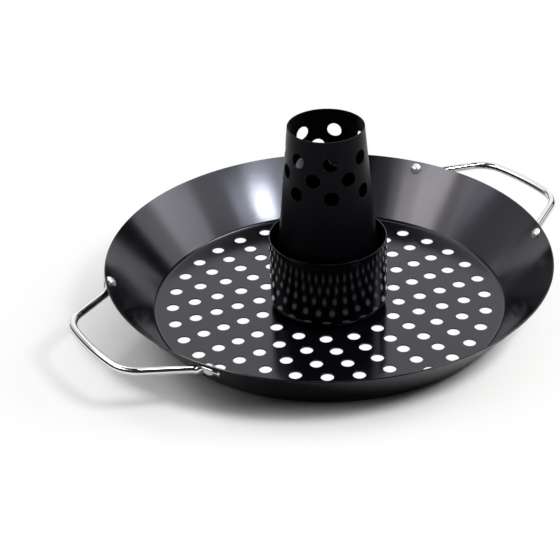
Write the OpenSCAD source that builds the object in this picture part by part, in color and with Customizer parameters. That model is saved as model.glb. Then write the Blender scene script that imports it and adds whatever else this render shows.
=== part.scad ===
// Round perforated grill pan with two riveted wire handles.
// A cup stands in the middle of the floor, and an open perforated cone stands in the cup.
// Millimetres. Origin on the table under the middle of the pan, Z up, handles along X.

/* [Pan] */
// Diameter across the rim
rim_d = 306.4; // [290:0.2:330]
// Diameter of the flat base, to the corner where the wall starts
base_d = 242.5; // [232:0.5:252]
// Height from the table to the rim
pan_h = 37.7; // [32:0.1:45]
// Thickness of the pan's sheet steel
pan_t = 1; // [0.8:0.1:1.5]
// Inside radius of the bend between floor and wall
pan_bend_r = 4; // [2:0.5:8]

/* [Floor holes] */
// Diameter of each hole in the floor
floor_hole_d = 8.6; // [6:0.1:10]
// Distance from the corner of the base in to the outermost ring of holes
ring_edge = 12.8; // [10:0.1:15]
// Distance from one ring of holes to the next
ring_pitch = 15; // [13:0.1:16]
// Number of rings
ring_count = 5; // [3:1:5]
// Holes in the outermost ring
outer_ring_holes = 32; // [28:4:36]
// Holes that each ring has fewer than the ring around it
ring_hole_step = 4; // [2:1:4]
// Turn of the whole hole pattern about the pan's axis, degrees
floor_turn = 39.9; // [0:0.1:90]

/* [Locating boss] */
// Diameter of the raised disc in the floor that centres the cup
boss_d = 50; // [40:1:50]
// Height of the raised disc
boss_h = 2; // [1:0.1:3]
// Clearance between the disc and the dished base of the cup
boss_gap = 0.5; // [0.3:0.1:0.8]

/* [Cup] */
// Outside diameter of the cup
cup_d = 80.4; // [80:0.2:86]
// Height of the cup
cup_h = 52.6; // [40:0.1:70]
// Thickness of the cup's sheet steel
cup_t = 0.8; // [0.6:0.1:1.2]
// Outside radius of the corner between the cup's base and wall
cup_corner_r = 8; // [6:0.5:9]

/* [Cone] */
// Outside diameter of the cone at its open top
cone_top_d = 51.4; // [44:0.2:60]
// Outside diameter of the cone at its foot
cone_foot_d = 75.3; // [72:0.1:75.5]
// Height of the cone
cone_h = 131.5; // [110:0.1:160]
// Thickness of the cone's sheet steel
cone_t = 0.8; // [0.6:0.1:1.2]
// Clearance between the cone's foot and the rounded corner of the cup that it stands on
cone_seat_gap = 0.1; // [0.05:0.01:0.2]
// Diameter of each hole in the cone
cone_hole_d = 10; // [8:0.1:11]
// Holes in the first row; every other row has one fewer
cone_row_holes = 7; // [5:1:7]
// Angle about the cone's axis from one hole of a row to the next, degrees
cone_hole_angle = 49.6; // [46:0.1:51]
// Number of rows
cone_rows = 3; // [1:1:4]
// Height from one row to the next
cone_row_pitch = 11.9; // [11:0.1:14]
// Depth of the first row below the top
cone_first_row = 15.8; // [12:0.1:20]
// Turn of the hole pattern about the cone's axis, degrees
cone_turn = -8.3; // [-30:0.1:30]

/* [Handles] */
// Diameter of the handle wire
wire_d = 5.5; // [4.5:0.1:6]
// How far the bar's centre line stands out from the rim
handle_out = 31; // [28:0.1:38]
// Lean of each leg towards the middle of the handle, degrees
leg_lean = 27.5; // [15:0.5:32]
// Bend radius between leg and bar, to the centre of the wire
corner_bend_r = 23.5; // [12:0.5:26]
// Bend radius between leg and tab, to the centre of the wire
foot_bend_r = 10; // [8:0.5:14]
// Upward tilt of the handle, degrees
handle_tilt = 2.8; // [0:0.1:6]
// Turn of both handles from the X axis towards +Y, degrees
handle_turn = 1.6; // [0:0.1:3]

/* [Handle tabs and rivets] */
// Angle about the pan's axis from the middle of a handle to each rivet, degrees
rivet_spread = 25.5; // [23:0.1:28]
// Depth of the rivets below the rim
rivet_drop = 4.6; // [4:0.1:6]
// Distance from a rivet to the corner where the leg leaves the wall
tab_reach = 9; // [8.5:0.1:14]
// Distance from a rivet to the free end of its tab
tab_end = 8; // [5:0.1:9]
// Thickness of the flattened tab
tab_t = 2.4; // [1.6:0.1:3]
// Width of the flattened tab
tab_w = 9; // [8:0.1:9]
// Clearance between tab and wall, and under each rivet head
seat_gap = 0.05; // [0.05:0.01:0.1]
// How much further the round wire stays off the wall than its tab does
wire_lift = 0.2; // [0.1:0.05:0.5]
// Diameter of a rivet's shank
shank_d = 4; // [3:0.1:4.5]
// Radial clearance of a shank in its holes
shank_gap = 0.05; // [0.05:0.01:0.2]
// Diameter of a rivet's domed head, inside the wall
head_d = 8.2; // [7:0.1:9]
// Height of the domed head
head_h = 2.2; // [1.5:0.1:3]
// Diameter of the closed tail, outside on the tab
tail_d = 7.2; // [6:0.1:8]
// Height of the closed tail
tail_h = 1.6; // [1:0.1:2.5]

/* [Hidden] */
$fn = 96;

// Points along each rounded stretch of an outline
arc_steps = 8;
// Flat sides round the wire's section
wire_sides = 16;
// How far a cutter runs past the face that it cuts
cut_over = 1;

rim_r = rim_d / 2;
base_r = base_d / 2;
boss_r = boss_d / 2;
cup_r = cup_d / 2;
wire_r = wire_d / 2;

// Angle of the flared wall above the table
wall_angle = atan2(pan_h, rim_r - base_r);
// Width of the wall's sheet, cut level
wall_level_t = pan_t / sin(wall_angle);
// Outside bend radius, and how far the bend reaches in along the base
pan_bend_outer_r = pan_bend_r + pan_t;
pan_bend_reach = pan_bend_outer_r * tan(wall_angle / 2);

// The boss and the cup's dish have 45 degree ramps, which shift this much with the sheet
ramp_shift = tan(22.5);

// The cup stands on the floor, and the dish in its base clears the boss
cup_z = pan_t;
dish_h = boss_h + boss_gap;
dish_r = boss_r + boss_gap;

// The cone's foot rests on the inside of the cup's rounded corner
cone_foot_r = cone_foot_d / 2;
cone_top_r = cone_top_d / 2;
corner_inner_r = cup_corner_r - cup_t;
foot_into_corner = max(0, cone_foot_r - (cup_r - cup_corner_r));
foot_up = cup_corner_r - sqrt(corner_inner_r * corner_inner_r - foot_into_corner * foot_into_corner);
cone_z = cup_z + foot_up + cone_seat_gap;
cone_taper = (cone_foot_r - cone_top_r) / cone_h;
cone_half_angle = atan(cone_taper);
// Width of the cone's sheet, cut level
cone_level_t = cone_t / cos(cone_half_angle);

// Rivets sit on the outer face of the wall, square to it
rivet_z = pan_h - rivet_drop;
rivet_r = base_r + rivet_z / tan(wall_angle);
right_angle = handle_turn;
left_angle = 180 - handle_turn;
// Each tab's rounded free end, beyond its rivet
tab_slide = tab_end - tab_w / 2;

// Centre of the wire where it lies against the wall
wire_off = seat_gap + wire_lift + wire_r;
wire_wall_r = rivet_r + wire_off * sin(wall_angle);
wire_z = rivet_z - wire_off * cos(wall_angle);

// Half of the handle's centre line, seen from above, with the handle along X
bar_r = rim_r + handle_out;
rivet_point = wire_wall_r * [cos(rivet_spread), sin(rivet_spread)];
tab_dir = [sin(rivet_spread), -cos(rivet_spread)];
leg_dir = [cos(leg_lean), -sin(leg_lean)];
leg_in = [-sin(leg_lean), -cos(leg_lean)];
foot_turn = 90 - rivet_spread - leg_lean;
foot_reach = foot_bend_r * tan(foot_turn / 2);
foot_corner = rivet_point + tab_reach * tab_dir;
foot_start = foot_corner - foot_reach * tab_dir;
foot_end = foot_corner + foot_reach * leg_dir;
foot_centre = foot_start + foot_bend_r * [cos(rivet_spread), sin(rivet_spread)];
// The corner bend touches the leg and, from inside, the arc of the bar
corner_from = foot_end + corner_bend_r * leg_in;
corner_b = corner_from * leg_dir;
corner_c = corner_from * corner_from - pow(bar_r - corner_bend_r, 2);
leg_len = -corner_b + sqrt(corner_b * corner_b - corner_c);
corner_centre = corner_from + leg_len * leg_dir;
bar_angle = atan2(corner_centre.y, corner_centre.x);

// Points on an arc about a centre
function arc(centre, r, from, to) =
    [for (i = [0:arc_steps]) centre + r * [cos(from + (to - from) * i / arc_steps),
        sin(from + (to - from) * i / arc_steps)]];

// Points down the outside of a dome, from its edge to its top
function dome(r, h) =
    let (ball_r = (r * r + h * h) / (2 * h), edge = asin(r / ball_r))
    [for (i = [0:arc_steps]) let (a = edge * (1 - i / arc_steps))
        [ball_r * sin(a), ball_r * cos(a) - ball_r + h]];

// Direction of a vector, and no direction for a vector of no length
function unit(v) = norm(v) == 0 ? v : v / norm(v);

// Centre line of the wire from one tab, round the bar, to the other tab
wire_half = concat(
    [rivet_point + (tab_w / 2) * tab_dir],
    arc(foot_centre, foot_bend_r, rivet_spread + 180, rivet_spread + 180 + foot_turn),
    arc(corner_centre, corner_bend_r, 90 - leg_lean, bar_angle));
wire_bar = arc([0, 0], bar_r, bar_angle, -bar_angle);
wire_path = concat(
    wire_half,
    [for (i = [1:arc_steps - 1]) wire_bar[i]],
    [for (i = [len(wire_half) - 1:-1:0]) [wire_half[i].x, -wire_half[i].y]]);

// Moves its children to a rivet's place: Z out through the wall, X down the wall, Y round the pan
module on_wall(angle) {
    rotate([0, 0, angle])
        translate([rivet_r, 0, rivet_z])
            rotate([0, 180 - wall_angle, 0])
                children();
}

module pan_sheet() {
    bend_centre = [base_r - pan_bend_reach, pan_bend_outer_r];
    boss_foot = boss_r + boss_h;
    rotate_extrude()
        polygon(concat(
            [[0, boss_h], [boss_r - ramp_shift * pan_t, boss_h], [boss_foot - ramp_shift * pan_t, 0]],
            arc(bend_centre, pan_bend_outer_r, -90, wall_angle - 90),
            [[rim_r, pan_h], [rim_r - wall_level_t, pan_h]],
            arc(bend_centre, pan_bend_r, wall_angle - 90, -90),
            [[boss_foot, pan_t], [boss_r, pan_t + boss_h], [0, pan_t + boss_h]]));
}

// Rings of holes; every other ring is turned by half its spacing
module floor_holes() {
    for (ring = [0:ring_count - 1]) {
        holes = outer_ring_holes - ring * ring_hole_step;
        ring_r = base_r - ring_edge - ring * ring_pitch;
        start = ring % 2 == 0 ? 0.5 : 0;
        for (i = [0:holes - 1])
            rotate([0, 0, floor_turn + (i + start) * 360 / holes])
                translate([ring_r, 0, -cut_over])
                    cylinder(d = floor_hole_d, h = pan_t + 2 * cut_over);
    }
}

module shank_hole(angle) {
    on_wall(angle)
        translate([0, 0, -pan_t - cut_over])
            cylinder(r = shank_d / 2 + shank_gap, h = pan_t + seat_gap + tab_t + 2 * cut_over);
}

module pan() {
    color("#2b2b2e")
        difference() {
            pan_sheet();
            floor_holes();
            for (side = [right_angle, left_angle], way = [-1, 1])
                shank_hole(side + way * rivet_spread);
        }
}

module cup() {
    corner_centre = [cup_r - cup_corner_r, cup_corner_r];
    dish_foot = dish_r + dish_h;
    color("#1c1c1e")
        translate([0, 0, cup_z])
            rotate_extrude()
                polygon(concat(
                    [[0, dish_h], [dish_r, dish_h], [dish_foot, 0]],
                    arc(corner_centre, cup_corner_r, -90, 0),
                    [[cup_r, cup_h], [cup_r - cup_t, cup_h]],
                    arc(corner_centre, cup_corner_r - cup_t, 0, -90),
                    [[dish_foot + ramp_shift * cup_t, cup_t], [dish_r + ramp_shift * cup_t, dish_h + cup_t],
                        [0, dish_h + cup_t]]));
}

module cone_sheet() {
    rotate_extrude()
        polygon([[cone_foot_r, 0], [cone_top_r, cone_h], [cone_top_r - cone_level_t, cone_h],
            [cone_foot_r - cone_level_t, 0]]);
}

// Rows of holes that stop short of the rolled sheet's seam; the holes of every other row lie
// between those of the row above
module cone_holes() {
    for (row = [0:cone_rows - 1]) {
        between = row % 2;
        depth = cone_first_row + row * cone_row_pitch;
        for (i = [0:cone_row_holes - 1 - between])
            rotate([0, 0, cone_turn + (i + between / 2) * cone_hole_angle])
                translate([cone_top_r + depth * cone_taper, 0, cone_h - depth])
                    rotate([0, 90 - cone_half_angle, 0])
                        translate([0, 0, -cone_t - 2 * cut_over])
                            cylinder(d = cone_hole_d, h = cone_t + 4 * cut_over);
    }
}

module cone() {
    color("#202022")
        translate([0, 0, cone_z])
            difference() {
                cone_sheet();
                cone_holes();
            }
}

// The wire, swept as one round section along the handle's centre line
module handle_wire() {
    last = len(wire_path) - 1;
    sections = [for (i = [0:last])
        let (along = unit(unit(wire_path[i] - wire_path[max(i - 1, 0)])
                + unit(wire_path[min(i + 1, last)] - wire_path[i])))
        for (k = [0:wire_sides - 1])
            let (side = wire_r * cos(k * 360 / wire_sides), up = wire_r * sin(k * 360 / wire_sides))
            [wire_path[i].x - side * along.y, wire_path[i].y + side * along.x, up]];
    skin = [for (i = [0:last - 1], k = [0:wire_sides - 1])
        let (a = i * wire_sides, b = a + wire_sides, next = (k + 1) % wire_sides)
        [a + k, b + k, b + next, a + next]];
    start_cap = [[for (k = [0:wire_sides - 1]) k]];
    end_cap = [[for (k = [wire_sides - 1:-1:0]) last * wire_sides + k]];
    translate([rivet_point.x, 0, wire_z])
        rotate([0, -handle_tilt, 0])
            translate([-rivet_point.x, 0, 0])
                polyhedron(sections, concat(skin, start_cap, end_cap));
}

// Flattened end of the wire: round past the rivet, drawn in to the wire's width
module tab(angle, way) {
    on_wall(angle)
        translate([0, 0, seat_gap])
            linear_extrude(tab_t) {
                translate([0, -way * tab_slide])
                    circle(d = tab_w);
                polygon([[-tab_w / 2, -way * tab_slide], [tab_w / 2, -way * tab_slide], [tab_w / 2, 0],
                    [wire_r, way * tab_w], [-wire_r, way * tab_w], [-tab_w / 2, 0]]);
            }
}

module handle(angle) {
    color("silver")
        difference() {
            union() {
                rotate([0, 0, angle])
                    handle_wire();
                tab(angle + rivet_spread, -1);
                tab(angle - rivet_spread, 1);
            }
            shank_hole(angle + rivet_spread);
            shank_hole(angle - rivet_spread);
        }
}

module handle_right() {
    handle(right_angle);
}

module handle_left() {
    handle(left_angle);
}

// One turned outline: domed tail, shank and domed head
module rivet(angle) {
    tail_z = 2 * seat_gap + tab_t;
    head_z = -pan_t - seat_gap;
    tail = [for (p = dome(tail_d / 2, tail_h)) [p.x, tail_z + p.y]];
    head = [for (p = dome(head_d / 2, head_h)) [p.x, head_z - p.y]];
    color("gainsboro")
        on_wall(angle)
            rotate_extrude()
                polygon(concat(
                    [for (i = [arc_steps:-1:0]) head[i]],
                    [[shank_d / 2, head_z], [shank_d / 2, tail_z]],
                    tail));
}

module rivet_right_front() {
    rivet(right_angle - rivet_spread);
}

module rivet_right_rear() {
    rivet(right_angle + rivet_spread);
}

module rivet_left_front() {
    rivet(left_angle + rivet_spread);
}

module rivet_left_rear() {
    rivet(left_angle - rivet_spread);
}

pan();
cup();
cone();
handle_right();
handle_left();
rivet_right_front();
rivet_right_rear();
rivet_left_front();
rivet_left_rear();
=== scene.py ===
from math import asin, atan2, cos, pi, radians, sin, sqrt, tan

import bmesh
import bpy
from mathutils import Matrix, Vector


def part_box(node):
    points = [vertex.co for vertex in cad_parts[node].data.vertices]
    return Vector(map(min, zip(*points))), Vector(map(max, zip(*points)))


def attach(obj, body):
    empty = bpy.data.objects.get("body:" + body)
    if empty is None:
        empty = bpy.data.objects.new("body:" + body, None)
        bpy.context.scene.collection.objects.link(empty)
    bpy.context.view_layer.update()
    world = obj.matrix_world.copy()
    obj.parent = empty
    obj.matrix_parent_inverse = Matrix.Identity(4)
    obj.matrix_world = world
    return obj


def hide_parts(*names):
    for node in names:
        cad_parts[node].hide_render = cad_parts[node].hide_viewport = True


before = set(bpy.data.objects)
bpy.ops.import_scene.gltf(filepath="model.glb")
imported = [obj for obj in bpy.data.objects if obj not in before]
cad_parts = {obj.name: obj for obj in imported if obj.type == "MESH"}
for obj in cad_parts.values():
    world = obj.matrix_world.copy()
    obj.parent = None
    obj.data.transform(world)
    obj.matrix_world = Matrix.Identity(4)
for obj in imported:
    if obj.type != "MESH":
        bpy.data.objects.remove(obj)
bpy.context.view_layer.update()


# Camera. It looks down on the pan from the front left, far enough off for a long lens.
# The pan's own X axis is turned away from the picture plane by camera_turn.
scene = bpy.context.scene
scene.view_settings.view_transform = "Standard"

camera_turn = Matrix.Rotation(radians(-34.19), 3, "Z")
camera_place = Vector((-0.03345, -0.9983, 0.6231))
camera_tip = radians(58.825)
camera_roll = radians(-2.008)
lens_in_pixels = 1692.1
picture_pixels = 560
sensor_mm = 36

camera = bpy.data.objects.new("camera", bpy.data.cameras.new("camera"))
camera.data.sensor_width = sensor_mm
camera.data.lens = sensor_mm * lens_in_pixels / picture_pixels
camera.location = camera_turn @ camera_place
camera_axes = camera_turn @ Matrix.Rotation(camera_tip, 3, "X") @ Matrix.Rotation(camera_roll, 3, "Z")
camera.rotation_euler = camera_axes.to_euler()
scene.collection.objects.link(camera)
scene.camera = camera


# Studio. A white wall stands behind the pan, and the rest of the room is dark. Soft boxes light
# the table and the pan, and cards hang round them that only show in the gloss. Their places are
# given as the camera sees them, in metres.
def add(tree, kind, inputs=None, **settings):
    """Adds a node and returns its first output; a socket given as an input is linked, a value is set."""
    node = tree.nodes.new(kind)
    for name, value in settings.items():
        setattr(node, name, value)
    for key, value in (inputs or {}).items():
        if isinstance(value, bpy.types.NodeSocket):
            tree.links.new(value, node.inputs[key])
        else:
            node.inputs[key].default_value = value
    return node.outputs[0]


def soft_box(name, place, along, size, radiance, colour=(1, 1, 1), lights=True, mirrored=True):
    """Hangs a soft box that faces the pan, with its first side along a direction."""
    light = bpy.data.lights.new(name, "AREA")
    light.shape = "RECTANGLE"
    light.size, light.size_y = size
    light.energy = radiance * pi * size[0] * size[1]
    light.color = colour
    box = bpy.data.objects.new(name, light)
    box.location = camera_turn @ Vector(place)
    back = box.location.normalized()
    across = back.cross(camera_turn @ Vector(along)).normalized()
    box.rotation_euler = Matrix((across.cross(back), across, back)).transposed().to_euler()
    box.visible_camera = False
    box.visible_diffuse = lights
    box.visible_glossy = mirrored
    scene.collection.objects.link(box)


def card(name, place, along, size, radiance, colour=(1, 1, 1)):
    """Hangs a card that shows in the glossy coats and the chrome, but adds no light to the table."""
    soft_box(name, place, along, size, radiance, colour, lights=False)


# Each box or card has a place, the direction of its first side, its two sides and its radiance.
soft_box("key_box", (0.59, -0.48, 0.974), (0.63, 0.77, 0), (0.3, 0.3), 25.6, mirrored=False)
soft_box("ceiling_box", (0, 0.1, 1.5), (1, 0, 0), (1.4, 1.4), 0.21, mirrored=False)
soft_box("left_back_box", (-0.85, 0.45, 0.75), (0.47, 0.88, 0), (0.5, 0.5), 5.2, mirrored=False)
soft_box("left_box", (-0.95, -0.1, 0.75), (0, 1, 0), (0.5, 0.5), 1.04, mirrored=False)
soft_box("right_box", (0.95, 0.2, 0.75), (0, 1, 0), (0.5, 0.5), 5.7, mirrored=False)

# Cards above the pan show in the cone, the rivets and the upper side of the handles.
card("overhead_card", (-0.02, -0.02, 1.5), (1, 0, 0), (0.32, 0.32), 9)
card("ceiling_card", (0, 0.1, 1.5), (1, 0, 0), (1.1, 1.1), 0.7)

# Cards at the right front make the white highlight on the rear wall, left of the cone.
cool = (0.95, 0.98, 1)
card("key_card", (0.191, -0.117, 0.384), (0.054, 0.043, -0.013), (0.07, 0.026), 70, cool)
card("key_glow", (0.145, -0.122, 0.415), (0.113, 0.05, -0.022), (0.16, 0.09), 4.2, cool)
card("key_skirt", (0.725, -0.367, 0.93), (0.077, 0.085, -0.032), (0.2, 0.07), 9, cool)

# Cards at the right and right rear show in the left part of the wall.
neutral = (1, 0.985, 0.95)
card("side_strip", (0.915, 0.185, 0.711), (0.25, 0.87, -0.4), (1.1, 0.2), 1.9, neutral)
card("side_card", (0.989, 0.205, 0.712), (0.05, 0.4, -0.19), (0.46, 0.2), 2.6, neutral)
card("upper_side_card", (0.945, 0.32, 0.85), (0.045, 0.25, -0.2), (0.32, 0.14), 8)
card("back_card", (0.454, 0.484, 1.125), (1, 0, 0), (0.35, 0.35), 9)

# Cards at the left show in the right part of the wall, the front ones in a warmer tone.
warm = (1, 0.935, 0.88)
card("warm_card", (-0.845, -0.16, 0.893), (0.161, -0.279, 0.106), (0.28, 0.2), 6.6, warm)
card("warm_side", (-0.714, -0.333, 0.956), (0.15, -0.18, 0.06), (0.2, 0.2), 4.3, warm)
card("warm_skirt", (-0.81, -0.17, 0.895), (0.426, -0.676, 0.258), (0.8, 0.3), 1.8, warm)
card("left_fill", (-0.516, -0.493, 1.02), (1, 0, 0), (0.25, 0.25), 0.45)
card("left_strip", (-0.93, 0.55, 0.58), (-0.1, -0.6, 0.3), (0.8, 0.3), 0.7)
card("left_card", (-0.96, 0.26, 0.83), (0.27, 0.96, 0), (0.35, 0.25), 1.7)
card("left_back_card", (-0.6, 0.5, 1.04), (0.64, 0.77, 0), (0.7, 0.5), 1.6)

# Low cards behind the pan show in the two ends of the wall.
card("right_low_card", (0.72, 0.98, 0.15), (0.79, -0.62, 0), (0.5, 0.3), 0.9)
card("left_low_card", (-0.75, 0.96, 0.2), (0.79, 0.62, 0), (0.5, 0.32), 0.9)

wall_toward = (camera_turn @ Vector((0, 0.86, 0.51))).normalized()
wall_start = 0.829
wall_full = 0.927
wall_level = 1.08
room_level = 0.03
world = bpy.data.worlds.new("studio")
world.use_nodes = True
scene.world = world
tree = world.node_tree
direction = tree.nodes.new("ShaderNodeTexCoord").outputs["Generated"]
facing = add(tree, "ShaderNodeVectorMath", {0: direction, 1: wall_toward}, operation="DOT_PRODUCT").node
wall_light = add(tree, "ShaderNodeMapRange", {"Value": facing.outputs["Value"], "From Min": wall_start,
    "From Max": wall_full, "To Min": 0, "To Max": wall_level}, interpolation_type="SMOOTHSTEP")
path = tree.nodes.new("ShaderNodeLightPath").outputs
wall_mirrored = add(tree, "ShaderNodeMath", {0: wall_light, 1: path["Is Glossy Ray"]},
    operation="MULTIPLY")
white_seen = add(tree, "ShaderNodeMath", {0: wall_mirrored, 1: path["Is Camera Ray"]},
    operation="MAXIMUM")
level = add(tree, "ShaderNodeMath", {0: white_seen, 1: room_level}, operation="MAXIMUM")
tree.links.new(level, tree.nodes["Background"].inputs["Strength"])
tree.nodes["Background"].inputs["Color"].default_value = (1, 1, 1, 1)


# Table. A plain white matt top, larger than any view of the pan. Under the pan it glows plain white, a
# painted light where the pan's shade falls, which shows through the holes of the floor. Round the pan it
# keeps the shadow, and further off it fades to plain white.
table_half = 8.0
# Inside this radius the top glows plain white: painted light in the shade under the pan.
painted_glow_under_pan_r = 0.114
shadow_centre = camera_turn @ Vector((-0.008, -0.09, 0))
shadow_across = camera_turn @ Vector((1, 0, 0))
shadow_back = camera_turn @ Vector((0, 1, 0))
reach_behind = 1.2
reach_in_front = 0.329
white_from_r = 0.086
white_full_r = 0.267
mirrored_from_r = 0.14
mirrored_full_r = 0.3
table_white = (0.7, 0.7, 0.7, 1)
table_seen = (1.29, 1.285, 1.275, 1)

table_finish = bpy.data.materials.new("white_table")
table_finish.use_nodes = True
tree = table_finish.node_tree
tree.nodes.clear()
path = tree.nodes.new("ShaderNodeLightPath").outputs
camera_or_glossy = add(tree, "ShaderNodeMath", {0: path["Is Camera Ray"], 1: path["Is Glossy Ray"]},
    operation="MAXIMUM")
seen = add(tree, "ShaderNodeMath", {0: camera_or_glossy, 1: path["Is Transmission Ray"]},
    operation="MAXIMUM")
place = tree.nodes.new("ShaderNodeTexCoord").outputs["Object"]
from_axis = add(tree, "ShaderNodeVectorMath", {0: place}, operation="LENGTH").node.outputs["Value"]
# Painted light: the disc under the pan glows white where the pan's shade falls.
painted_glow_disc = add(tree, "ShaderNodeMath", {0: from_axis, 1: painted_glow_under_pan_r}, operation="LESS_THAN")
from_shadow = add(tree, "ShaderNodeVectorMath", {0: place, 1: shadow_centre}, operation="SUBTRACT")
across = add(tree, "ShaderNodeVectorMath", {0: from_shadow, 1: shadow_across},
    operation="DOT_PRODUCT").node.outputs["Value"]
back = add(tree, "ShaderNodeVectorMath", {0: from_shadow, 1: shadow_back},
    operation="DOT_PRODUCT").node.outputs["Value"]
behind = add(tree, "ShaderNodeMath", {0: back, 1: reach_behind}, operation="DIVIDE")
in_front = add(tree, "ShaderNodeMath", {0: back, 1: -reach_in_front}, operation="DIVIDE")
off = add(tree, "ShaderNodeMath", {0: behind, 1: in_front}, operation="MAXIMUM")
spread = add(tree, "ShaderNodeCombineXYZ", {"X": across, "Y": off})
spread_r = add(tree, "ShaderNodeVectorMath", {0: spread}, operation="LENGTH").node.outputs["Value"]
far_off = add(tree, "ShaderNodeMapRange", {"Value": spread_r, "From Min": white_from_r,
    "From Max": white_full_r}, interpolation_type="SMOOTHSTEP")
seen_far = add(tree, "ShaderNodeMath", {0: far_off, 1: path["Is Camera Ray"]}, operation="MULTIPLY")
wide_off = add(tree, "ShaderNodeMapRange", {"Value": from_axis, "From Min": mirrored_from_r,
    "From Max": mirrored_full_r}, interpolation_type="SMOOTHSTEP")
mirrored_far = add(tree, "ShaderNodeMath", {0: wide_off, 1: path["Is Glossy Ray"]}, operation="MULTIPLY")
far_white = add(tree, "ShaderNodeMath", {0: seen_far, 1: mirrored_far}, operation="MAXIMUM")
# The painted glow under the pan shows to the camera, in gloss and through glass.
painted_glow_seen = add(tree, "ShaderNodeMath", {0: seen, 1: painted_glow_disc}, operation="MULTIPLY")
seen_white = add(tree, "ShaderNodeMath", {0: far_white, 1: painted_glow_seen}, operation="MAXIMUM")
table_colour = add(tree, "ShaderNodeMixRGB", {"Fac": path["Is Camera Ray"], "Color1": table_white,
    "Color2": table_seen})
lit = add(tree, "ShaderNodeBsdfDiffuse", {"Color": table_colour})
white = add(tree, "ShaderNodeEmission", {"Strength": 1})
top = add(tree, "ShaderNodeMixShader", {0: seen_white, 1: lit, 2: white})
tree.links.new(top, tree.nodes.new("ShaderNodeOutputMaterial").inputs["Surface"])

table_mesh = bpy.data.meshes.new("table")
table_mesh.from_pydata([(-table_half, -table_half, 0), (table_half, -table_half, 0),
    (table_half, table_half, 0), (-table_half, table_half, 0)], [], [(0, 1, 2, 3)])
table_mesh.materials.append(table_finish)
table = bpy.data.objects.new("table", table_mesh)
scene.collection.objects.link(table)


# Pan. One disc of sheet steel, punched with rings of round holes, drawn to a flared wall and
# coated all over in glossy black non-stick. A raised disc in the floor centres the cup.
sheet = 0.001
rim_r = (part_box("pan")[1].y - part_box("pan")[0].y) / 2
rim_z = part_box("pan")[1].z
base_r = 0.12125
bend_r = 0.004
boss_r = 0.025
boss_h = 0.002
press_r = 0.0012
press_steps = 4
cut_edge_r = 0.0002
support = 0.001
pan_segments = 256

hole_r = 0.0043
hole_sides = 24
hole_band = 0.0008
ring_edge = 0.0128
first_ring_r = base_r - ring_edge
ring_pitch = 0.015
rings = 5
outer_holes = 32
hole_step = 4
pattern_turn = radians(39.9)

wall_angle = atan2(rim_z, rim_r - base_r)


def rounded(corners, steps=8):
    """Outline through (radius, height, bend) corners; a bend above 0 becomes an arc of that radius."""
    outline = []
    for i, (r, z, bend) in enumerate(corners):
        corner = Vector((r, z))
        if bend == 0:
            outline.append(corner)
            continue
        back = (Vector(corners[i - 1][:2]) - corner).normalized()
        on = (Vector(corners[i + 1][:2]) - corner).normalized()
        half = back.angle(on) / 2
        centre = corner + (back + on).normalized() * bend / sin(half)
        start = corner + back * bend / tan(half) - centre
        sweep = -start.angle_signed(corner + on * bend / tan(half) - centre)
        for step in range(steps + 1):
            outline.append(centre + Matrix.Rotation(sweep * step / steps, 2) @ start)
    return outline


same_point = 1e-6


def turned(name, outlines, segments):
    """Object whose outlines of (radius, height) are turned about Z; faces look left of an outline."""
    mesh = bmesh.new()
    for outline in outlines:
        rows = [[mesh.verts.new((r * cos(2 * pi * k / segments), r * sin(2 * pi * k / segments), z))
            for k in range(segments)] for r, z in outline]
        for inner, outer in zip(rows, rows[1:]):
            for k in range(segments):
                after = (k + 1) % segments
                mesh.faces.new((inner[k], outer[k], outer[after], inner[after]))
    bmesh.ops.remove_doubles(mesh, verts=mesh.verts, dist=same_point)
    data = bpy.data.meshes.new(name)
    mesh.to_mesh(data)
    mesh.free()
    made = bpy.data.objects.new(name, data)
    scene.collection.objects.link(made)
    return made


def new_tree(name, inputs):
    """Geometry tree with one geometry in and out, and named inputs of the given socket types."""
    tree = bpy.data.node_groups.new(name, "GeometryNodeTree")
    tree.interface.new_socket("Geometry", in_out="INPUT", socket_type="NodeSocketGeometry")
    tree.interface.new_socket("Geometry", in_out="OUTPUT", socket_type="NodeSocketGeometry")
    for label, kind in inputs.items():
        tree.interface.new_socket(label, in_out="INPUT", socket_type="NodeSocket" + kind)
    return tree, tree.nodes.new("NodeGroupInput").outputs


join_distance = 1e-5


def end_tree(tree, geometry, material):
    """Ends a geometry tree: plain mesh, near points joined, smooth faces, one finish."""
    plain = add(tree, "GeometryNodeRealizeInstances", {"Geometry": geometry})
    joined = add(tree, "GeometryNodeMergeByDistance", {"Geometry": plain, "Distance": join_distance})
    smooth = add(tree, "GeometryNodeSetShadeSmooth", {"Geometry": joined})
    finished = add(tree, "GeometryNodeSetMaterial", {"Geometry": smooth, "Material": material})
    tree.links.new(finished, tree.nodes.new("NodeGroupOutput").inputs["Geometry"])


def run_tree(piece, tree, sizes):
    """Puts a geometry tree on a piece, with its named inputs set."""
    modifier = piece.modifiers.new(tree.name, "NODES")
    modifier.node_group = tree
    inputs = [item for item in tree.interface.items_tree if item.in_out == "INPUT"]
    sockets = {item.name: item.identifier for item in inputs}
    for label, value in sizes.items():
        modifier[sockets[label]] = value


def fix_mesh(piece):
    """Replaces a piece's mesh by what its modifiers make of it, and removes the modifiers."""
    depsgraph = bpy.context.evaluated_depsgraph_get()
    mesh = bpy.data.meshes.new_from_object(piece.evaluated_get(depsgraph), depsgraph=depsgraph)
    mesh.name = piece.name
    piece.modifiers.clear()
    piece.data = mesh


cut_edge_steps = 2
sharp_from = radians(60)


def thicken(piece, thickness, edge_r):
    """Gives a sheet its thickness behind its faces, with rounded cut edges."""
    solid = piece.modifiers.new("thickness", "SOLIDIFY")
    solid.thickness = thickness
    solid.offset = -1
    solid.use_even_offset = True
    edge = piece.modifiers.new("cut_edges", "BEVEL")
    edge.width = edge_r
    edge.segments = cut_edge_steps
    edge.limit_method = "ANGLE"
    edge.angle_limit = sharp_from
    piece.modifiers.new("even_shading", "WEIGHTED_NORMAL")
    fix_mesh(piece)


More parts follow.
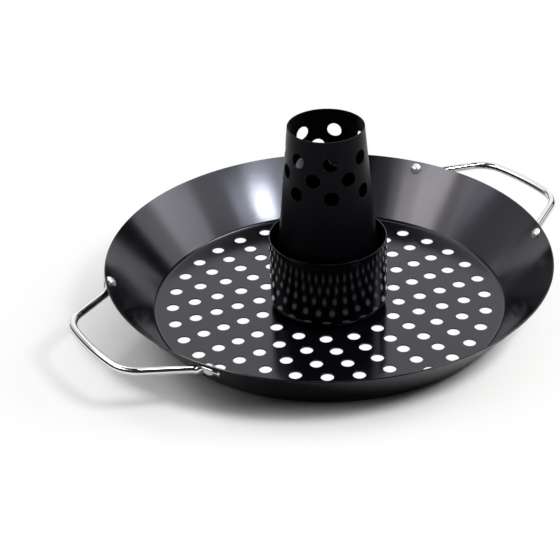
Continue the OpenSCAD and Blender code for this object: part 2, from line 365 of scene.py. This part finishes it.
coat_ior = 1.5
coat_hue = (1, 0.95, 2)
coat_tint = (0.94, 0.955, 1.11, 1)
cloud_scale = 26
cloud_detail = 4
cloud_from, cloud_to = 0.35, 0.65
peel_scale = 850
peel_detail = 2
peel_depth = 0.00002
speck_scale = 2600
speck_detail = 1
speck_from, speck_to = 0.60, 0.74
speck_shade = 4
ring_stretch = (4, 4, 700)
ring_detail = 2
ring_depth = 0.00002


def black_coat(name, shade, smoothest, roughest, peel, specular, rings):
    """Baked black coat: cloudy gloss, orange peel, faint rings from the forming and paler specks."""
    coat = bpy.data.materials.new(name)
    coat.use_nodes = True
    tree = coat.node_tree
    shader = tree.nodes["Principled BSDF"]
    place = tree.nodes.new("ShaderNodeTexCoord").outputs["Object"]
    clouds = add(tree, "ShaderNodeTexNoise", {"Vector": place, "Scale": cloud_scale,
        "Detail": cloud_detail})
    gloss = add(tree, "ShaderNodeMapRange", {"Value": clouds, "From Min": cloud_from,
        "From Max": cloud_to, "To Min": smoothest, "To Max": roughest})
    specks = add(tree, "ShaderNodeTexNoise", {"Vector": place, "Scale": speck_scale,
        "Detail": speck_detail})
    paler = add(tree, "ShaderNodeMapRange", {"Value": specks, "From Min": speck_from,
        "From Max": speck_to})
    dark = (*[shade * part for part in coat_hue], 1)
    pale = (*[shade * speck_shade] * 3, 1)
    colour = add(tree, "ShaderNodeMixRGB", {"Fac": paler, "Color1": dark, "Color2": pale})
    grain = add(tree, "ShaderNodeTexNoise", {"Vector": place, "Scale": peel_scale,
        "Detail": peel_detail})
    grain_bumps = add(tree, "ShaderNodeBump", {"Height": grain, "Strength": peel,
        "Distance": peel_depth})
    stretched = add(tree, "ShaderNodeVectorMath", {0: place, 1: ring_stretch}, operation="MULTIPLY")
    rounds = add(tree, "ShaderNodeTexNoise", {"Vector": stretched, "Scale": 1, "Detail": ring_detail})
    bumps = add(tree, "ShaderNodeBump", {"Height": rounds, "Strength": rings,
        "Distance": ring_depth, "Normal": grain_bumps})
    tree.links.new(colour, shader.inputs["Base Color"])
    tree.links.new(gloss, shader.inputs["Roughness"])
    tree.links.new(bumps, shader.inputs["Normal"])
    shader.inputs["IOR"].default_value = coat_ior
    shader.inputs["Specular IOR Level"].default_value = specular
    shader.inputs["Specular Tint"].default_value = coat_tint
    return coat


pan_coat = black_coat("glossy_non_stick", shade=0.002, smoothest=0.13, roughest=0.17, peel=0.12,
    specular=0.53, rings=0.25)

floor_edge = base_r - (bend_r + sheet) * tan(wall_angle / 2) - support
boss_edge = boss_r + boss_h + press_r * tan(pi / 8) + support
wall_corner = base_r - sheet * tan(wall_angle / 2)
wall_top = rim_r - sheet / sin(wall_angle) + sheet * cos(wall_angle) / 2 / tan(wall_angle)
boss = rounded([(0, sheet + boss_h, 0), (boss_r, sheet + boss_h, press_r),
    (boss_r + boss_h, sheet, press_r), (boss_edge, sheet, 0)], press_steps)
wall = rounded([(floor_edge, sheet, 0), (wall_corner, sheet, bend_r),
    (wall_top, rim_z + sheet * cos(wall_angle) / 2, 0)])
pan = turned("pan_pressing", [boss, wall], pan_segments)

tree, size = new_tree("punched_floor", {"Floor Edge": "Float", "Boss Edge": "Float",
    "Floor Level": "Float", "Segments": "Int", "Hole Radius": "Float", "Hole Sides": "Int",
    "Hole Band": "Float", "First Ring": "Float", "Ring Pitch": "Float", "Rings": "Int",
    "Outer Holes": "Int", "Hole Step": "Int", "Turn": "Float"})
ring_start = tree.nodes.new("GeometryNodeRepeatInput")
ring_end = tree.nodes.new("GeometryNodeRepeatOutput")
ring_start.pair_with_output(ring_end)
tree.links.new(size["Rings"], ring_start.inputs["Iterations"])
ring = ring_start.outputs["Iteration"]
fewer = add(tree, "ShaderNodeMath", {0: ring, 1: size["Hole Step"]}, operation="MULTIPLY")
holes = add(tree, "ShaderNodeMath", {0: size["Outer Holes"], 1: fewer}, operation="SUBTRACT")
inward = add(tree, "ShaderNodeMath", {0: ring, 1: size["Ring Pitch"]}, operation="MULTIPLY")
ring_r = add(tree, "ShaderNodeMath", {0: size["First Ring"], 1: inward}, operation="SUBTRACT")
spacing = add(tree, "ShaderNodeMath", {0: 2 * pi, 1: holes}, operation="DIVIDE")
odd = add(tree, "ShaderNodeMath", {0: ring, 1: 2}, operation="MODULO")
share = add(tree, "ShaderNodeMath", {0: odd, 1: -0.5, 2: 0.5}, operation="MULTIPLY_ADD")
start = add(tree, "ShaderNodeMath", {0: spacing, 1: share, 2: size["Turn"]}, operation="MULTIPLY_ADD")
circle = add(tree, "GeometryNodeMeshCircle", {"Vertices": holes, "Radius": ring_r})
turn = add(tree, "ShaderNodeCombineXYZ", {"Z": start})
ring_points = add(tree, "GeometryNodeTransform", {"Geometry": circle, "Rotation": turn})
rings_so_far = add(tree, "GeometryNodeJoinGeometry", {0: ring_start.outputs["Geometry"]})
tree.links.new(ring_points, rings_so_far.node.inputs[0])
tree.links.new(rings_so_far, ring_end.inputs["Geometry"])
centres = ring_end.outputs["Geometry"]

band_r = add(tree, "ShaderNodeMath", {0: size["Hole Radius"], 1: size["Hole Band"]}, operation="ADD")
band_middle = add(tree, "ShaderNodeMath", {0: size["Hole Band"], 1: 0.5, 2: size["Hole Radius"]},
    operation="MULTIPLY_ADD")
band_half = add(tree, "ShaderNodeMath", {0: size["Hole Band"], 1: 0.5}, operation="MULTIPLY")
band_back = add(tree, "ShaderNodeMath", {0: size["Hole Band"], 1: -0.5}, operation="MULTIPLY")
outer_circle = add(tree, "GeometryNodeCurvePrimitiveCircle", {"Resolution": size["Hole Sides"],
    "Radius": band_r})
cut_outs = add(tree, "GeometryNodeInstanceOnPoints", {"Points": centres, "Instance": outer_circle})
edge_circle = add(tree, "GeometryNodeCurvePrimitiveCircle", {"Resolution": size["Segments"],
    "Radius": size["Floor Edge"]})
boss_circle = add(tree, "GeometryNodeCurvePrimitiveCircle", {"Resolution": size["Segments"],
    "Radius": size["Boss Edge"]})
hole_outlines = add(tree, "GeometryNodeRealizeInstances", {"Geometry": cut_outs})
outlines = add(tree, "GeometryNodeJoinGeometry", {0: hole_outlines})
tree.links.new(edge_circle, outlines.node.inputs[0])
tree.links.new(boss_circle, outlines.node.inputs[0])
flat = add(tree, "GeometryNodeFillCurve", {"Curve": outlines}, mode="TRIANGLES")
middle_circle = add(tree, "GeometryNodeCurvePrimitiveCircle", {"Resolution": size["Hole Sides"],
    "Radius": band_middle})
band_from = add(tree, "ShaderNodeCombineXYZ", {"X": band_back})
band_to = add(tree, "ShaderNodeCombineXYZ", {"X": band_half})
band_line = add(tree, "GeometryNodeCurvePrimitiveLine", {"Start": band_from, "End": band_to})
band = add(tree, "GeometryNodeCurveToMesh", {"Curve": middle_circle, "Profile Curve": band_line})
bands = add(tree, "GeometryNodeInstanceOnPoints", {"Points": centres, "Instance": band})
floor = add(tree, "GeometryNodeJoinGeometry", {0: flat})
tree.links.new(bands, floor.node.inputs[0])
floor_up = add(tree, "ShaderNodeCombineXYZ", {"Z": size["Floor Level"]})
raised = add(tree, "GeometryNodeTransform", {"Geometry": floor, "Translation": floor_up})
whole = add(tree, "GeometryNodeJoinGeometry", {0: size["Geometry"]})
tree.links.new(raised, whole.node.inputs[0])
end_tree(tree, whole, pan_coat)
run_tree(pan, tree, {"Floor Edge": floor_edge, "Boss Edge": boss_edge, "Floor Level": sheet,
    "Segments": pan_segments, "Hole Radius": hole_r, "Hole Sides": hole_sides, "Hole Band": hole_band,
    "First Ring": first_ring_r, "Ring Pitch": ring_pitch, "Rings": rings, "Outer Holes": outer_holes,
    "Hole Step": hole_step, "Turn": pattern_turn})
fix_mesh(pan)

mesh = bmesh.new()
mesh.from_mesh(pan.data)
bmesh.ops.recalc_face_normals(mesh, faces=mesh.faces)
if sum(face.normal.z * face.calc_area() for face in mesh.faces) < 0:
    bmesh.ops.reverse_faces(mesh, faces=mesh.faces)
mesh.to_mesh(pan.data)
mesh.free()
thicken(pan, sheet, cut_edge_r)
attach(pan, "pan")
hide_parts("pan")


# Cup. Drawn from one disc of thin sheet steel, with a dished base that drops over the pan's
# raised disc, and coated inside and outside in a glossy black like the pan's.
cup_sheet = 0.0008
cup_low, cup_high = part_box("cup")
cup_r = (cup_high.y - cup_low.y) / 2
cup_corner_r = 0.008
dish_gap = 0.0005
dish_r = boss_r + dish_gap
dish_h = boss_h + dish_gap
dish_press_r = 0.001
cup_bend_steps = 12
cup_segments = 192

cup_outline = rounded([(cup_r, cup_high.z, 0), (cup_r, cup_low.z, cup_corner_r),
    (dish_r + dish_h, cup_low.z, dish_press_r), (dish_r, cup_low.z + dish_h, dish_press_r),
    (0, cup_low.z + dish_h, 0)], cup_bend_steps)
cup = turned("cup_drawing", [cup_outline], cup_segments)
cup_coat = black_coat("glossy_cup_coat", shade=0.0012, smoothest=0.095, roughest=0.125, peel=0.08,
    specular=0.27, rings=0.06)
cup.data.materials.append(cup_coat)
cup.data.shade_smooth()
thicken(cup, cup_sheet, cut_edge_r)
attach(cup, "cup")
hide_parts("cup")


# Cone. A sector of thin sheet steel, punched with staggered round holes that stop short of its
# seam and rolled into a tapered tube, open at both ends. It stands loose in the cup and has a
# satin black coat.
cone_sheet = 0.0008
cone_low, cone_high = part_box("cone")
cone_foot_r = 0.03765
cone_top_r = 0.0257
foot_clear = 0.0001
cone_edge_r = 0.00012
cone_hole_r = 0.005
cone_holes = 7
cone_rows = 3
cone_row_pitch = 0.0119
cone_first_row = 0.0158
cone_turn = radians(-8.3)
hole_angle = radians(49.6)
seam_angle = 2 * pi - cone_holes * hole_angle
cone_lean = atan2(cone_foot_r - cone_top_r, cone_high.z - cone_low.z)
cone_slant = (cone_high.z - cone_low.z - foot_clear) / cos(cone_lean)
row_slant = cone_row_pitch / cos(cone_lean)
first_slant = cone_first_row / cos(cone_lean)


def on_cone(angle, down):
    """Point on the cone's outer face, at an angle and a distance down the slant from its top."""
    r = cone_top_r + down * sin(cone_lean)
    return r * cos(angle), r * sin(angle), cone_high.z - down * cos(cone_lean)


cell_sides = 32
cell_rings = 4
side_steps = 2
top_steps = 6
hole_support = 0.00035


def ring_of_cell(mesh, middle, down, reach):
    """One ring of a punched cell: reach 0 is the hole, 1 its support ring, 2 halfway, 3 the sides."""
    points = []
    for k in range(cell_sides):
        turn = 2 * pi * k / cell_sides
        hole = cone_hole_r + (hole_support if reach else 0)
        round_down = hole * sin(turn)
        round_angle = hole * cos(turn) / (cone_top_r + (down + round_down) * sin(cone_lean))
        step = (k + cell_sides // 2) % cell_sides - cell_sides // 2
        far = abs(step)
        square_angle = max(-1, min(1, 1 - (far - side_steps) / top_steps)) * hole_angle / 2
        square_down = min(1, far / side_steps, (cell_sides / 2 - far) / side_steps) * row_slant / 2
        square_down = square_down if step > 0 else -square_down
        blend = max(0, reach - 1) / (cell_rings - 2)
        points.append(on_cone(middle + round_angle + (square_angle - round_angle) * blend,
            down + round_down + (square_down - round_down) * blend))
    return [mesh.verts.new(point) for point in points]


def punched_cell(mesh, middle, down):
    """Part of the sheet round one hole, out to straight sides halfway to its neighbours."""
    rings = [ring_of_cell(mesh, middle, down, reach) for reach in range(cell_rings)]
    for inner, outer in zip(rings, rings[1:]):
        for k in range(cell_sides):
            after = (k + 1) % cell_sides
            mesh.faces.new((inner[k], inner[after], outer[after], outer[k]))


def plain_sheet(mesh, angles, downs):
    """Part of the sheet without holes, over angles about the axis and distances down the slant."""
    rows = [[mesh.verts.new(on_cone(angle, down)) for angle in angles] for down in downs]
    for upper, lower in zip(rows, rows[1:]):
        for k in range(len(angles) - 1):
            mesh.faces.new((upper[k], lower[k], lower[k + 1], upper[k + 1]))


seam_steps = 3
foot_steps = 6
edge_support = 0.0006
cells_top = first_slant - row_slant / 2
cells_foot = cells_top + cone_rows * row_slant
top_band = [0, edge_support, cells_top / 2, cells_top]
foot_band = [cells_foot + (cone_slant - cells_foot) * step / foot_steps for step in range(foot_steps)]
foot_band += [cone_slant - edge_support, cone_slant]


def punched_sector(name, at_seam):
    """One hole of each row with the plain sheet above and below; at the seam, one row has no hole."""
    mesh = bmesh.new()
    columns = [hole_angle / 2 * k / top_steps for k in range(-top_steps, top_steps + 1)]
    beside = [hole_angle / 2 + seam_angle * k / seam_steps for k in range(seam_steps + 1)]
    beyond = [beside[-1] + hole_angle / 2 * k / top_steps for k in range(1, top_steps + 1)]
    for row in range(cone_rows):
        down = first_slant + row * row_slant
        downs = [down + row_slant / 2 * k / side_steps for k in range(-side_steps, side_steps + 1)]
        if row % 2 == 0:
            punched_cell(mesh, 0, down)
            if at_seam:
                plain_sheet(mesh, beside, downs)
        elif at_seam:
            plain_sheet(mesh, columns[top_steps:-1] + beside + beyond, downs)
        else:
            punched_cell(mesh, hole_angle / 2, down)
    for band in (top_band, foot_band):
        plain_sheet(mesh, columns[:-1] + beside if at_seam else columns, band)
    data = bpy.data.meshes.new(name)
    mesh.to_mesh(data)
    mesh.free()
    made = bpy.data.objects.new(name, data)
    scene.collection.objects.link(made)
    return made


cone = punched_sector("cone_rolling", at_seam=False)
seam_sector = punched_sector("seam_sector", at_seam=True)

cone_coat = black_coat("satin_cone_coat", shade=0.0012, smoothest=0.29, roughest=0.36, peel=0.3,
    specular=0.08, rings=0.06)

tree, size = new_tree("rolled_sectors", {"Sectors": "Int", "Hole Angle": "Float", "Turn": "Float",
    "Seam Sector": "Object"})
index = tree.nodes.new("GeometryNodeInputIndex").outputs[0]
angle = add(tree, "ShaderNodeMath", {0: index, 1: size["Hole Angle"], 2: size["Turn"]},
    operation="MULTIPLY_ADD")
spin = add(tree, "ShaderNodeCombineXYZ", {"Z": angle})
points = add(tree, "GeometryNodePoints", {"Count": size["Sectors"]})
turned_sectors = add(tree, "GeometryNodeInstanceOnPoints", {"Points": points,
    "Instance": size["Geometry"], "Rotation": spin})
seam_info = add(tree, "GeometryNodeObjectInfo", {"Object": size["Seam Sector"]}).node
seam_shape = seam_info.outputs["Geometry"]
seam_at = add(tree, "ShaderNodeMath", {0: size["Sectors"], 1: size["Hole Angle"], 2: size["Turn"]},
    operation="MULTIPLY_ADD")
seam_spin = add(tree, "ShaderNodeCombineXYZ", {"Z": seam_at})
turned_seam = add(tree, "GeometryNodeTransform", {"Geometry": seam_shape, "Rotation": seam_spin})
rolled = add(tree, "GeometryNodeJoinGeometry", {0: turned_sectors})
tree.links.new(turned_seam, rolled.node.inputs[0])
end_tree(tree, rolled, cone_coat)
run_tree(cone, tree, {"Sectors": cone_holes - 1, "Hole Angle": hole_angle, "Turn": cone_turn,
    "Seam Sector": seam_sector})
fix_mesh(cone)
bpy.data.objects.remove(seam_sector)
thicken(cone, cone_sheet, cone_edge_r)
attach(cone, "cone")
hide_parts("cone")


# Handles. Round steel wire, bent to a loop that follows the rim, with both ends pressed flat
# against the wall and the whole loop chrome plated.
wire_r = 0.00275
leg_lean = radians(27.5)
corner_bend_r = 0.0235
foot_bend_r = 0.010
handle_tilt = radians(2.8)
handle_turn = radians(1.6)
rivet_spread = radians(25.5)
rivet_drop = 0.0046
tab_reach = 0.009
tab_end = 0.008
tab_t = 0.0024
tab_w = 0.009
seat_gap = 0.00005
tab_squareness = 1.2
wire_lift = 0.0002
wire_sides = 32

rivet_z = rim_z - rivet_drop
rivet_r = base_r + rivet_z / tan(wall_angle)
wire_off = seat_gap + wire_lift + wire_r
wire_wall_r = rivet_r + wire_off * sin(wall_angle)
wire_z = rivet_z - wire_off * cos(wall_angle)
bar_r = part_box("handle_right")[1].x - wire_r


def unit(angle):
    """Direction at an angle about the axis."""
    return Vector((cos(angle), sin(angle)))


rivet_point = wire_wall_r * unit(rivet_spread)
tab_way = unit(rivet_spread - pi / 2)
leg_way = unit(-leg_lean)
leg_in = unit(-leg_lean - pi / 2)
foot_turn = pi / 2 - rivet_spread - leg_lean
foot_reach = foot_bend_r * tan(foot_turn / 2)
foot_start = rivet_point + (tab_reach - foot_reach) * tab_way
foot_end = rivet_point + tab_reach * tab_way + foot_reach * leg_way
foot_centre = foot_start + foot_bend_r * unit(rivet_spread)
corner_from = foot_end + corner_bend_r * leg_in
along_leg = corner_from.dot(leg_way)
corner_r = bar_r - corner_bend_r
leg_length = sqrt(along_leg ** 2 - corner_from.length_squared + corner_r ** 2) - along_leg
corner_centre = corner_from + leg_length * leg_way
bar_angle = atan2(corner_centre.y, corner_centre.x)


def bend(centre, r, start, end, steps):
    """Points on an arc about a centre, from one angle to another."""
    return [centre + r * unit(start + (end - start) * k / steps) for k in range(steps + 1)]


round_end_steps = 8
flat_steps = 4
pressed_steps = 12
foot_bend_steps = 12
leg_steps = 6
corner_steps = 16
bar_steps = 10
tab_slide = tab_end - tab_w / 2
round_end = [sin(pi / 2 * k / round_end_steps) for k in range(round_end_steps, 0, -1)]
reaches = [-tab_slide - tab_w / 2 * part for part in round_end]
reaches += [-tab_slide * (1 - k / flat_steps) for k in range(flat_steps)]
reaches += [(tab_reach - foot_reach) * k / pressed_steps for k in range(pressed_steps)]
half_path = [rivet_point + reach * tab_way for reach in reaches]
half_path += bend(foot_centre, foot_bend_r, rivet_spread + pi, rivet_spread + pi + foot_turn,
    foot_bend_steps)
leg_from = half_path[-1]
leg_to = corner_centre - corner_bend_r * leg_in
half_path += [leg_from.lerp(leg_to, k / leg_steps) for k in range(1, leg_steps)]
half_path += bend(corner_centre, corner_bend_r, pi / 2 - leg_lean, bar_angle, corner_steps)
half_path += bend(Vector((0, 0)), bar_r, bar_angle, 0, bar_steps)[1:]
flat_until = 0.0020
round_from = 0.0085
thinnest_end = 0.0006

line_stretch = (26, 26, 8)
line_detail = 3
line_depth = 0.00001
line_strength = 0.03
chrome_smoothest, chrome_roughest = 0.05, 0.10
pressed_roughness = 0.05
chrome_dark = (0.76, 0.76, 0.75, 1)
chrome_bright = (0.84, 0.84, 0.83, 1)
chrome = bpy.data.materials.new("bright_chrome")
chrome.use_nodes = True
tree = chrome.node_tree
shader = tree.nodes["Principled BSDF"]
on_wire = add(tree, "ShaderNodeAttribute", attribute_name="wire_place").node.outputs["Vector"]
pressed_flat = add(tree, "ShaderNodeAttribute", attribute_name="pressed").node.outputs["Fac"]
stretched = add(tree, "ShaderNodeVectorMath", {0: on_wire, 1: line_stretch}, operation="MULTIPLY")
drawn_lines = add(tree, "ShaderNodeTexNoise", {"Vector": stretched, "Scale": 1, "Detail": line_detail})
drawn_gloss = add(tree, "ShaderNodeMapRange", {"Value": drawn_lines, "From Min": cloud_from,
    "From Max": cloud_to, "To Min": chrome_smoothest, "To Max": chrome_roughest})
gloss = add(tree, "ShaderNodeMath", {0: pressed_flat, 1: pressed_roughness, 2: drawn_gloss},
    operation="MULTIPLY_ADD")
scores = add(tree, "ShaderNodeBump", {"Height": drawn_lines, "Strength": line_strength,
    "Distance": line_depth})
tint = add(tree, "ShaderNodeMixRGB", {"Fac": drawn_lines, "Color1": chrome_dark, "Color2": chrome_bright})
tree.links.new(tint, shader.inputs["Base Color"])
tree.links.new(gloss, shader.inputs["Roughness"])
tree.links.new(scores, shader.inputs["Normal"])
shader.inputs["Metallic"].default_value = 1

tree, size = new_tree("bent_wire", {"Sides": "Int", "Squareness": "Float"})
curve = add(tree, "GeometryNodeMeshToCurve", {"Mesh": size["Geometry"]})
kept = add(tree, "GeometryNodeCaptureAttribute", {"Geometry": curve}).node
kept.capture_items.new("VECTOR", "Middle")
kept.capture_items.new("VECTOR", "Along")
kept.capture_items.new("FLOAT", "Length")
tree.links.new(tree.nodes.new("GeometryNodeInputPosition").outputs[0], kept.inputs["Middle"])
tree.links.new(tree.nodes.new("GeometryNodeInputTangent").outputs[0], kept.inputs["Along"])
tree.links.new(tree.nodes.new("GeometryNodeSplineParameter").outputs["Length"], kept.inputs["Length"])
circle = add(tree, "GeometryNodeCurvePrimitiveCircle", {"Resolution": size["Sides"], "Radius": 1})
swept = add(tree, "GeometryNodeCurveToMesh", {"Curve": kept.outputs["Geometry"], "Profile Curve": circle,
    "Fill Caps": True})


def stored(name, kind):
    """Reads a value that the centre line carries."""
    return add(tree, "GeometryNodeInputNamedAttribute", {"Name": name}, data_type=kind)


def vector(operation, *values):
    """One vector step; a step that gives a number returns that output."""
    keys = dict(enumerate(values))
    if operation == "SCALE":
        keys = {0: values[0], "Scale": values[1]}
    made = add(tree, "ShaderNodeVectorMath", keys, operation=operation)
    return made.node.outputs["Value"] if operation == "DOT_PRODUCT" else made


def number(operation, *values):
    """One step with numbers."""
    return add(tree, "ShaderNodeMath", dict(enumerate(values)), operation=operation)


along = kept.outputs["Along"]
middle = kept.outputs["Middle"]
seat = stored("seat", "FLOAT_VECTOR")
seat_along = vector("SCALE", along, vector("DOT_PRODUCT", seat, along))
off_wall = vector("NORMALIZE", vector("SUBTRACT", seat, seat_along))
across = vector("CROSS_PRODUCT", along, off_wall)
out = vector("SUBTRACT", tree.nodes.new("GeometryNodeInputPosition").outputs[0], middle)
round_across = vector("DOT_PRODUCT", out, across)
round_off = vector("DOT_PRODUCT", out, off_wall)
wire_place = add(tree, "ShaderNodeCombineXYZ", {"X": round_across, "Y": round_off,
    "Z": kept.outputs["Length"]})
swept = add(tree, "GeometryNodeStoreNamedAttribute", {"Geometry": swept, "Name": "wire_place",
    "Value": wire_place}, data_type="FLOAT_VECTOR", domain="POINT")
wide = number("MULTIPLY", round_across, stored("half_width", "FLOAT"))
squeeze = number("MULTIPLY_ADD", stored("pressed", "FLOAT"), size["Squareness"], 1.0)
squeezed = number("MULTIPLY", round_off, squeeze)
flattened = number("MAXIMUM", number("MINIMUM", squeezed, 1.0), -1.0)
thick = number("MULTIPLY", flattened, stored("half_thickness", "FLOAT"))
section = vector("ADD", vector("SCALE", across, wide), vector("SCALE", off_wall, thick))
shaped = vector("ADD", middle, section)
wire = add(tree, "GeometryNodeSetPosition", {"Geometry": swept, "Position": shaped})
end_tree(tree, wire, chrome)


def smooth_step(x):
    """Soft rise from 0 to 1."""
    x = max(0, min(1, x))
    return x * x * (3 - 2 * x)


def wire_handle(name, node, angle):
    """One handle: the centre line from tab to tab, swept and pressed, turned to its side of the pan."""
    mesh = bpy.data.meshes.new(name)
    places, widths, thicknesses, presses, seats = [], [], [], [], []
    tilt = Matrix.Rotation(-handle_tilt, 3, "Y")
    side_turn = Matrix.Rotation(angle, 3, "Z")
    pivot = Vector((rivet_point.x, 0, wire_z))
    for way in (1, -1):
        seat = Vector((sin(wall_angle) * cos(rivet_spread), way * sin(wall_angle) * sin(rivet_spread),
            -cos(wall_angle)))
        half = []
        for point in half_path:
            reach = (point - rivet_point).dot(tab_way)
            pressed = 1 - smooth_step((reach - flat_until) / (round_from - flat_until))
            width = wire_r + (tab_w / 2 - wire_r) * pressed
            if reach < -tab_slide:
                width = max(thinnest_end, sqrt(max(0, (tab_w / 2) ** 2 - (reach + tab_slide) ** 2)))
            place = Vector((point.x, way * point.y, wire_z))
            place -= seat * pressed * (wire_off - seat_gap - tab_t / 2)
            place = pivot + tilt @ (place - pivot)
            half.append((place, width, wire_r + (tab_t / 2 - wire_r) * pressed, pressed, seat))
        if way < 0:
            half = half[-2::-1]
        for place, width, thickness, pressed, seat in half:
            places.append(side_turn @ place)
            widths.append(width)
            thicknesses.append(thickness)
            presses.append(pressed)
            seats.append(side_turn @ seat)
    mesh.from_pydata(places, [(k, k + 1) for k in range(len(places) - 1)], [])
    for label, values in (("half_width", widths), ("half_thickness", thicknesses), ("pressed", presses)):
        mesh.attributes.new(label, "FLOAT", "POINT").data.foreach_set("value", values)
    seat_parts = [part for seat in seats for part in seat]
    mesh.attributes.new("seat", "FLOAT_VECTOR", "POINT").data.foreach_set("vector", seat_parts)
    handle = bpy.data.objects.new(name, mesh)
    scene.collection.objects.link(handle)
    run_tree(handle, tree, {"Sides": wire_sides, "Squareness": tab_squareness})
    fix_mesh(handle)
    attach(handle, "pan")
    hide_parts(node)


wire_handle("right_wire_handle", "handle_right", handle_turn)
wire_handle("left_wire_handle", "handle_left", pi - handle_turn)


# Rivets. Four solid steel rivets with a domed head inside the wall, set through wall and tab
# and closed to a lower dome outside.
shank_r = 0.002
head_r = 0.0041
head_h = 0.0022
tail_r = 0.0036
tail_h = 0.0016
rivet_edge = 0.0003
rivet_segments = 40


def dome(r, h, steps=8):
    """Outline of a dome from its top to its edge."""
    ball = (r * r + h * h) / (2 * h)
    edge = asin(r / ball)
    angles = [edge * k / steps for k in range(steps + 1)]
    return [(ball * sin(angle), ball * cos(angle) - ball + h) for angle in angles]


tail_z = 2 * seat_gap + tab_t
head_z = -sheet - seat_gap
rivet_outline = [(r, tail_z + z + rivet_edge) for r, z in dome(tail_r, tail_h - rivet_edge)]
rivet_outline += [(tail_r, tail_z), (shank_r, tail_z), (shank_r, head_z), (head_r, head_z)]
rivet_outline += [(r, head_z - rivet_edge - z) for r, z in reversed(dome(head_r, head_h - rivet_edge))]
rivet = turned("rivet", [rivet_outline], rivet_segments)
from_axis = [Vector(corner.co[:2]).length for corner in rivet.data.vertices]
rivet.data.attributes.new("from_axis", "FLOAT", "POINT").data.foreach_set("value", from_axis)

mark_scale = 2600
mark_detail = 2
mark_depth = 0.00002
mark_strength = 0.12
rivet_smoothest, rivet_roughest = 0.26, 0.34
rivet_dark = (0.88, 0.88, 0.87, 1)
rivet_bright = (0.95, 0.95, 0.94, 1)
rivet_metal = 0.75
rivet_steel = bpy.data.materials.new("polished_rivet_steel")
rivet_steel.use_nodes = True
tree = rivet_steel.node_tree
shader = tree.nodes["Principled BSDF"]
ring_place = add(tree, "ShaderNodeAttribute", attribute_name="from_axis").node.outputs["Fac"]
marks = add(tree, "ShaderNodeTexNoise", {"W": ring_place, "Scale": mark_scale, "Detail": mark_detail},
    noise_dimensions="1D")
gloss = add(tree, "ShaderNodeMapRange", {"Value": marks, "From Min": cloud_from, "From Max": cloud_to,
    "To Min": rivet_smoothest, "To Max": rivet_roughest})
rings_cut = add(tree, "ShaderNodeBump", {"Height": marks, "Strength": mark_strength,
    "Distance": mark_depth})
tint = add(tree, "ShaderNodeMixRGB", {"Fac": marks, "Color1": rivet_dark, "Color2": rivet_bright})
tree.links.new(tint, shader.inputs["Base Color"])
tree.links.new(gloss, shader.inputs["Roughness"])
tree.links.new(rings_cut, shader.inputs["Normal"])
shader.inputs["Metallic"].default_value = rivet_metal

tree, size = new_tree("rivets_on_wall", {"Rivet": "Object", "Lean": "Float"})
shape = add(tree, "GeometryNodeObjectInfo", {"Object": size["Rivet"]}).node.outputs["Geometry"]
turn = add(tree, "GeometryNodeInputNamedAttribute", {"Name": "turn"}, data_type="FLOAT")
lean = add(tree, "ShaderNodeCombineXYZ", {"Y": size["Lean"], "Z": turn})
set_rivets = add(tree, "GeometryNodeInstanceOnPoints", {"Points": size["Geometry"],
    "Instance": shape, "Rotation": lean})
end_tree(tree, set_rivets, rivet_steel)

rivet_turns = [side + way * rivet_spread for side in (handle_turn, pi - handle_turn) for way in (-1, 1)]
rivet_mesh = bpy.data.meshes.new("rivets")
rivet_places = [(rivet_r * cos(turn), rivet_r * sin(turn), rivet_z) for turn in rivet_turns]
rivet_mesh.from_pydata(rivet_places, [], [])
rivet_mesh.attributes.new("turn", "FLOAT", "POINT").data.foreach_set("value", rivet_turns)
rivets = bpy.data.objects.new("rivets", rivet_mesh)
scene.collection.objects.link(rivets)
run_tree(rivets, tree, {"Rivet": rivet, "Lean": pi - wall_angle})
fix_mesh(rivets)
bpy.data.objects.remove(rivet)
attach(rivets, "pan")
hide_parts("rivet_right_front", "rivet_right_rear", "rivet_left_front", "rivet_left_rear")
